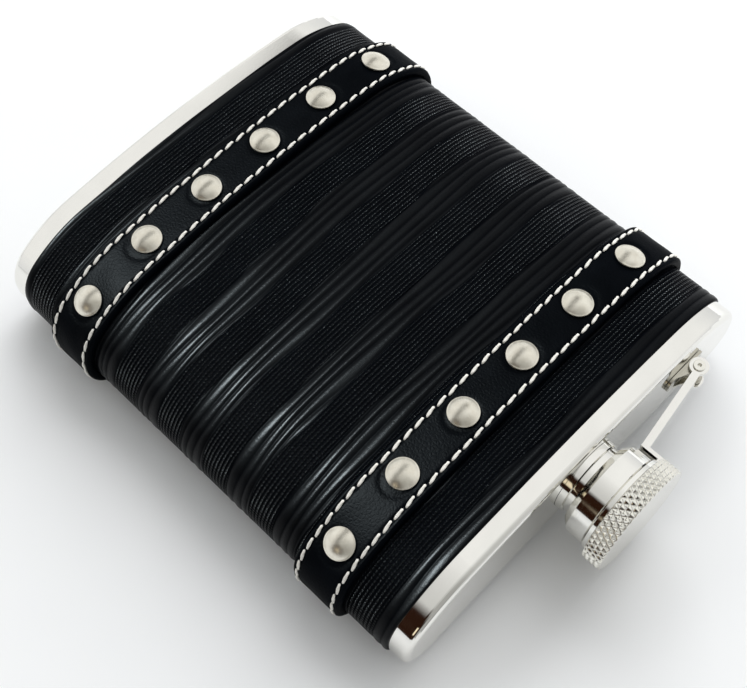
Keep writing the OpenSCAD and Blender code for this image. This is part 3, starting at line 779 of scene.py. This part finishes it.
def world():
    """A pale studio: a dark strip overhead, a dark room with a lamp at +X, and dimmer behind the camera."""
    w = bpy.data.worlds.new("studio")
    bpy.context.scene.world = w
    w.use_nodes = True
    tree = w.node_tree
    tree.nodes.clear()

    def node(kind, **values):
        n = tree.nodes.new(kind)
        for key, value in values.items():
            setattr(n, key, value)
        return n

    def ramp(source, stops):
        n = node("ShaderNodeValToRGB")
        set_stops(n, stops)
        tree.links.new(source, n.inputs[0])
        return n.outputs[0]

    def mapped(source):
        """A direction's part, from -1 to 1, brought to 0 to 1."""
        n = node("ShaderNodeMapRange")
        n.inputs["From Min"].default_value = -1
        tree.links.new(source, n.inputs["Value"])
        return n.outputs["Result"]

    def towards(direction):
        """How nearly a ray points in a direction: 1 when it does."""
        n = node("ShaderNodeVectorMath", operation="DOT_PRODUCT")
        n.inputs[1].default_value = Vector(direction).normalized()
        tree.links.new(coord, n.inputs[0])
        return n.outputs["Value"]

    def times(a, b):
        n = node("ShaderNodeMix", data_type="RGBA", blend_type="MULTIPLY")
        n.inputs[0].default_value = 1
        tree.links.new(a, n.inputs[6])
        tree.links.new(b, n.inputs[7])
        return n.outputs[2]

    def mix(fac, a, b):
        """From a to b, each a colour or another node's output."""
        n = node("ShaderNodeMix", data_type="RGBA")
        tree.links.new(fac, n.inputs[0])
        for value, port in ((a, n.inputs[6]), (b, n.inputs[7])):
            if isinstance(value, tuple):
                port.default_value = (*value, 1)
            else:
                tree.links.new(value, port)
        return n.outputs[2]

    white, black = (1, 1, 1), (0, 0, 0)
    coord = node("ShaderNodeTexCoord").outputs["Generated"]
    parts = node("ShaderNodeSeparateXYZ")
    tree.links.new(coord, parts.inputs[0])
    strip = ramp(mapped(parts.outputs[1]), [(0.235, black), (0.255, white), (0.375, white), (0.395, black)])
    high = ramp(mapped(parts.outputs[2]), [(0.74, black), (0.82, white)])
    level = ramp(mapped(parts.outputs[2]), [(0.5, (0.80, 0.81, 0.82)), (0.75, (0.98, 0.98, 0.97))])
    sky = mix(times(strip, high), level, STRIP_GREY)
    dim = ramp(towards(DIM_AT), [(0.25, white), (0.85, (0.42, 0.42, 0.41))])
    to_room = towards(ROOM_AT)
    room = ramp(to_room, [(0.85, black), (0.91, white)])
    lamp = ramp(to_room, [(0.984, black), (0.990, white)])
    final = mix(lamp, mix(room, times(sky, dim), ROOM_BROWN), LAMP_CREAM)
    back = node("ShaderNodeBackground")
    back.inputs["Strength"].default_value = WORLD_STRENGTH
    out = node("ShaderNodeOutputWorld")
    tree.links.new(final, back.inputs["Color"])
    tree.links.new(back.outputs[0], out.inputs[0])


def area_light(name, where, aim, size, power, colour=(1, 1, 1)):
    """A rectangular lamp at a place, turned to face another (metres, watts)."""
    light = bpy.data.lights.new(name, "AREA")
    light.shape = "RECTANGLE"
    light.size, light.size_y = size
    light.energy = power
    light.color = colour
    obj = bpy.data.objects.new(name, light)
    bpy.context.scene.collection.objects.link(obj)
    obj.location = where
    obj.rotation_mode = "QUATERNION"
    obj.rotation_quaternion = (Vector(aim) - Vector(where)).to_track_quat("-Z", "Y")
    return obj


def leather_glint(pieces):
    """A small lamp that only the leather sees, for the glint along its shoulder."""
    lamp = area_light("glint", (0.17, -0.24, 0.55), (0.02, -0.01, 0.01), (0.24, 0.30), 38.0,
                      (0.84, 0.96, 1.0))
    lamp.visible_diffuse = False
    lit = bpy.data.collections.new("glint_on")
    for obj in pieces:
        lit.objects.link(obj)
    lamp.light_linking.receiver_collection = lit


# The floor's half width, and how far it lies under z = 0, just past the lowest stitches (m)
FLOOR_HALF, FLOOR_UNDER = 3.0, 0.0002


def floor():
    """A wide pale sheet just under the flask."""
    m = Nodes("pale_floor")
    n = m.noise(14, 3)
    pale = m.ramp(n, [(0.3, (0.90, 0.915, 0.935)), (0.7, (0.93, 0.945, 0.96))])
    m.link(pale, m.shader.inputs["Base Color"])
    m.set(Roughness=0.8, Specular_IOR_Level=0.0)
    corners = [(x * FLOOR_HALF, y * FLOOR_HALF, 0) for x, y in ((-1, -1), (1, -1), (1, 1), (-1, 1))]
    obj = new_mesh("floor", corners, [(0, 1, 2, 3)], smooth=False)
    obj.location.z = -FLOOR_UNDER
    give(obj, m.mat)


# Lens in mm for a sensor 36 mm wide, and the camera's place and two of its axes
LENS = 61.3
CAMERA_AT = (0.08441, 0.08227, 0.22517)
CAMERA_RIGHT, CAMERA_AHEAD = (-0.6995, 0.7144, -0.0160), (-0.3230, -0.3360, -0.8848)


def camera():
    """The camera that took the photo, as fitted to it."""
    cam = bpy.data.cameras.new("camera")
    obj = bpy.data.objects.new("camera", cam)
    bpy.context.scene.collection.objects.link(obj)
    bpy.context.scene.camera = obj
    cam.sensor_fit = "HORIZONTAL"
    cam.sensor_width = 36
    cam.lens = LENS
    cam.clip_start, cam.clip_end = 0.01, 20
    right = Vector(CAMERA_RIGHT).normalized()
    ahead = Vector(CAMERA_AHEAD)
    ahead = (ahead - right * ahead.dot(right)).normalized()
    up = right.cross(ahead)
    m = Matrix((right, up, -ahead)).transposed().to_4x4()
    m.translation = Vector(CAMERA_AT)
    obj.matrix_world = m


# ---------------------------------------------------------------- build

camera()
world()
floor()
window = area_light("window", (-0.66, -0.34, 0.66), (0, 0, 0.01), (0.9, 0.9), 8.4)
window.visible_glossy = False

LEATHER, STRAP_LEATHER = wrap_material(), strap_material()
THREAD, NICKEL = thread_material(), nickel_material()
CHROME = steel_material("polished_steel", 0.05, (0.88, 0.87, 0.83))
CREAM = steel_material("plated_steel", 0.07, (0.87, 0.855, 0.79))
# The bracket's steel has a darker olive colour as painted shade, for the shade its cheeks sit in below the
# rim; its brushed hairlines are its own finish.
SHADED_PRESSED_STEEL = steel_material("pressed_steel_painted_shade", 0.16, (0.56, 0.54, 0.47), brushed=1.0)
SEAL = seal_material()

leather = [
    (leather_wrap(), LEATHER),
    (strap("strap_lower_leather", "strap_lower", STRAP_LOW_Z, STUD_LOW_SHIFT, 31), STRAP_LEATHER),
    (strap("strap_upper_leather", "strap_upper", STRAP_HIGH_Z, STUD_HIGH_SHIFT, 41), STRAP_LEATHER),
]
for obj, material in leather:
    give(obj, material)
leather_glint([obj for obj, _ in leather])
give(stitches("stitches_lower_thread", "stitches_lower", STRAP_LOW_Z, 51), THREAD)
give(stitches("stitches_upper_thread", "stitches_upper", STRAP_HIGH_Z, 61), THREAD)
give(studs("studs_lower_domes", "studs_lower", STRAP_LOW_Z, STUD_LOW_SHIFT, 71), NICKEL)
give(studs("studs_upper_domes", "studs_upper", STRAP_HIGH_Z, STUD_HIGH_SHIFT, 81), NICKEL)

give(knurled_head(), CREAM)
give(softened("arm_polished", "cap_arm", "arm", 0.14), CHROME)
# The bracket's darker steel colour is painted shade.
give(softened("bracket_pressed_painted_shade", "hinge_bracket", "flask", 0.1), SHADED_PRESSED_STEEL)
give(softened("pin_riveted", "hinge_pin", "flask", 0.08), CREAM)
for name in ("body_shell", "base_plate", "top_plate", "neck_tube", "neck_collar", "cap_skirt"):
    give(NODES[name], CHROME)
for name in ("stud_backs_lower", "stud_backs_upper"):
    give(NODES[name], NICKEL)
give(NODES["cap_gasket"], SEAL)

scene = bpy.context.scene
scene.view_settings.view_transform = "Standard"
scene.view_settings.look = "None"
